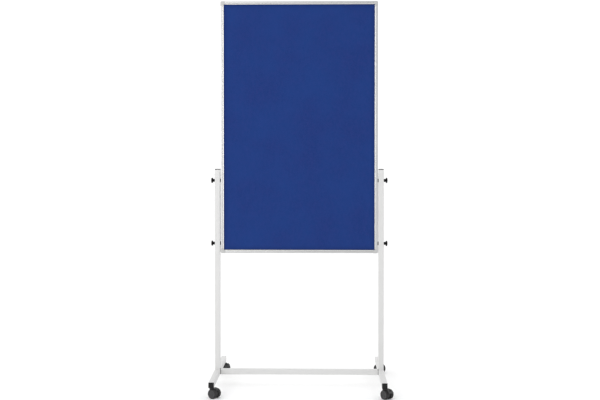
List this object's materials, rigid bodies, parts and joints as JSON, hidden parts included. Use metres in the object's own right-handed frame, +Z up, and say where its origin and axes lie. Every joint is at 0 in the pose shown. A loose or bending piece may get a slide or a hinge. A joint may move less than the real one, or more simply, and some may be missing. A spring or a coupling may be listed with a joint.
{
  "type": "rolling whiteboard",
  "caption": "Portrait felt-faced board in an aluminium frame, set to height between square-tube posts by clamp knobs, on an H-shaped base with twin-wheel casters.",
  "frame": {"origin": "on the floor, midway between the posts and between the feet's ends (within 9 mm of the centre of the whole box, which the casters' headings shift)", "axes": "+Z up, +X to the viewer's right when facing the felt, -Y out of the felt face"},
  "size_m": [0.8526, 0.6187, 1.8317],
  "materials": {
    "white_paint": "satin",
    "silver_aluminium": "satin",
    "grey_plastic": "matte",
    "dark_plastic": "matte",
    "black_plastic": "satin",
    "wheel_grey": "satin",
    "blue_felt": "matte",
    "fibreboard": "matte",
    "white_lacquer": "gloss",
    "zinc_steel": "satin"
  },
  "bodies": {
    "stand": {"post_left": "white_paint", "post_right": "white_paint", "post_cap_left": "black_plastic", "post_cap_right": "black_plastic", "foot_left": "white_paint", "foot_right": "white_paint", "foot_cap_front_left": "black_plastic", "foot_cap_front_right": "black_plastic", "foot_cap_rear_left": "black_plastic", "foot_cap_rear_right": "black_plastic", "crossbar": "white_paint", "crossbar_insert_left": "dark_plastic", "crossbar_insert_right": "dark_plastic", "crossbar_bolt_left": "zinc_steel", "crossbar_bolt_right": "zinc_steel", "spacer_washer_lower_left": "dark_plastic", "spacer_washer_lower_right": "dark_plastic", "spacer_washer_upper_left": "dark_plastic", "spacer_washer_upper_right": "dark_plastic", "slot_nut_lower_left": "zinc_steel", "slot_nut_lower_right": "zinc_steel", "slot_nut_upper_left": "zinc_steel", "slot_nut_upper_right": "zinc_steel"},
    "board": {"frame_left": "silver_aluminium", "frame_right": "silver_aluminium", "frame_top": "silver_aluminium", "frame_bottom": "silver_aluminium", "corner_cap_bottom_left": "grey_plastic", "corner_cap_bottom_right": "grey_plastic", "corner_cap_top_left": "grey_plastic", "corner_cap_top_right": "grey_plastic", "core_panel": "fibreboard", "felt_sheet": "blue_felt", "whiteboard_sheet": "white_lacquer"},
    "knob_lower_left": {"knob_lower_left": "black_plastic"},
    "knob_lower_right": {"knob_lower_right": "black_plastic"},
    "knob_upper_left": {"knob_upper_left": "black_plastic"},
    "knob_upper_right": {"knob_upper_right": "black_plastic"},
    "caster_front_left": {"caster_front_left_hood": "dark_plastic", "caster_front_left_stem": "zinc_steel", "caster_front_left_axle": "zinc_steel"},
    "caster_front_left_wheel_inner": {"caster_front_left_wheel_inner": "wheel_grey"},
    "caster_front_left_wheel_outer": {"caster_front_left_wheel_outer": "wheel_grey"},
    "caster_front_right": {"caster_front_right_hood": "dark_plastic", "caster_front_right_stem": "zinc_steel", "caster_front_right_axle": "zinc_steel"},
    "caster_front_right_wheel_inner": {"caster_front_right_wheel_inner": "wheel_grey"},
    "caster_front_right_wheel_outer": {"caster_front_right_wheel_outer": "wheel_grey"},
    "caster_front_right_brake": {"caster_front_right_brake_pedal": "dark_plastic"},
    "caster_rear_left": {"caster_rear_left_hood": "dark_plastic", "caster_rear_left_stem": "zinc_steel", "caster_rear_left_axle": "zinc_steel"},
    "caster_rear_left_wheel_inner": {"caster_rear_left_wheel_inner": "wheel_grey"},
    "caster_rear_left_wheel_outer": {"caster_rear_left_wheel_outer": "wheel_grey"},
    "caster_rear_left_brake": {"caster_rear_left_brake_pedal": "dark_plastic"},
    "caster_rear_right": {"caster_rear_right_hood": "dark_plastic", "caster_rear_right_stem": "zinc_steel", "caster_rear_right_axle": "zinc_steel"},
    "caster_rear_right_wheel_inner": {"caster_rear_right_wheel_inner": "wheel_grey"},
    "caster_rear_right_wheel_outer": {"caster_rear_right_wheel_outer": "wheel_grey"}
  },
  "joints": [
    {"name": "board_slide", "type": "slide", "parent": "stand", "child": "board", "axis": [0, 0, -1], "range_m": [0, 0.5]},
    {"name": "knob_lower_left_turn", "type": "hinge", "parent": "stand", "child": "knob_lower_left", "pos_m": [-0.4035, 0, 0.677], "axis": [1, 0, 0], "range_deg": [0, 540]},
    {"name": "knob_lower_right_turn", "type": "hinge", "parent": "stand", "child": "knob_lower_right", "pos_m": [0.4035, 0, 0.677], "axis": [-1, 0, 0], "range_deg": [0, 540]},
    {"name": "knob_upper_left_turn", "type": "hinge", "parent": "stand", "child": "knob_upper_left", "pos_m": [-0.4035, 0, 0.978], "axis": [1, 0, 0], "range_deg": [0, 540]},
    {"name": "knob_upper_right_turn", "type": "hinge", "parent": "stand", "child": "knob_upper_right", "pos_m": [0.4035, 0, 0.978], "axis": [-1, 0, 0], "range_deg": [0, 540]},
    {"name": "caster_front_left_swivel", "type": "hinge", "parent": "stand", "child": "caster_front_left", "pos_m": [-0.391, -0.275, 0.048], "axis": [0, 0, 1], "continuous": true},
    {"name": "caster_front_left_wheel_inner_spin", "type": "hinge", "parent": "caster_front_left", "child": "caster_front_left_wheel_inner", "pos_m": [-0.37758, -0.28371, 0.02132], "axis": [0.5446, 0.8387, 0], "continuous": true},
    {"name": "caster_front_left_wheel_outer_spin", "type": "hinge", "parent": "caster_front_left", "child": "caster_front_left_wheel_outer", "pos_m": [-0.37758, -0.28371, 0.02132], "axis": [0.5446, 0.8387, 0], "continuous": true},
    {"name": "caster_front_right_swivel", "type": "hinge", "parent": "stand", "child": "caster_front_right", "pos_m": [0.391, -0.275, 0.048], "axis": [0, 0, 1], "continuous": true},
    {"name": "caster_front_right_wheel_inner_spin", "type": "hinge", "parent": "caster_front_right", "child": "caster_front_right_wheel_inner", "pos_m": [0.40129, -0.28726, 0.02132], "axis": [0.766, 0.6428, 0], "continuous": true},
    {"name": "caster_front_right_wheel_outer_spin", "type": "hinge", "parent": "caster_front_right", "child": "caster_front_right_wheel_outer", "pos_m": [0.40129, -0.28726, 0.02132], "axis": [0.766, 0.6428, 0], "continuous": true},
    {"name": "caster_front_right_brake_press", "type": "hinge", "parent": "caster_front_right", "child": "caster_front_right_brake", "pos_m": [0.41157, -0.29952, 0.0418], "axis": [0.766, 0.6428, 0], "range_deg": [0, 14]},
    {"name": "caster_rear_left_swivel", "type": "hinge", "parent": "stand", "child": "caster_rear_left", "pos_m": [-0.391, 0.275, 0.048], "axis": [0, 0, 1], "continuous": true},
    {"name": "caster_rear_left_wheel_inner_spin", "type": "hinge", "parent": "caster_rear_left", "child": "caster_rear_left_wheel_inner", "pos_m": [-0.383, 0.26114, 0.02132], "axis": [0.866, 0.5, 0], "continuous": true},
    {"name": "caster_rear_left_wheel_outer_spin", "type": "hinge", "parent": "caster_rear_left", "child": "caster_rear_left_wheel_outer", "pos_m": [-0.383, 0.26114, 0.02132], "axis": [0.866, 0.5, 0], "continuous": true},
    {"name": "caster_rear_left_brake_press", "type": "hinge", "parent": "caster_rear_left", "child": "caster_rear_left_brake", "pos_m": [-0.375, 0.24728, 0.0418], "axis": [0.866, 0.5, 0], "range_deg": [0, 14]},
    {"name": "caster_rear_right_swivel", "type": "hinge", "parent": "stand", "child": "caster_rear_right", "pos_m": [0.391, 0.275, 0.048], "axis": [0, 0, 1], "continuous": true},
    {"name": "caster_rear_right_wheel_inner_spin", "type": "hinge", "parent": "caster_rear_right", "child": "caster_rear_right_wheel_inner", "pos_m": [0.40063, 0.26222, 0.02132], "axis": [0.7986, 0.6018, 0], "continuous": true},
    {"name": "caster_rear_right_wheel_outer_spin", "type": "hinge", "parent": "caster_rear_right", "child": "caster_rear_right_wheel_outer", "pos_m": [0.40063, 0.26222, 0.02132], "axis": [0.7986, 0.6018, 0], "continuous": true}
  ]
}
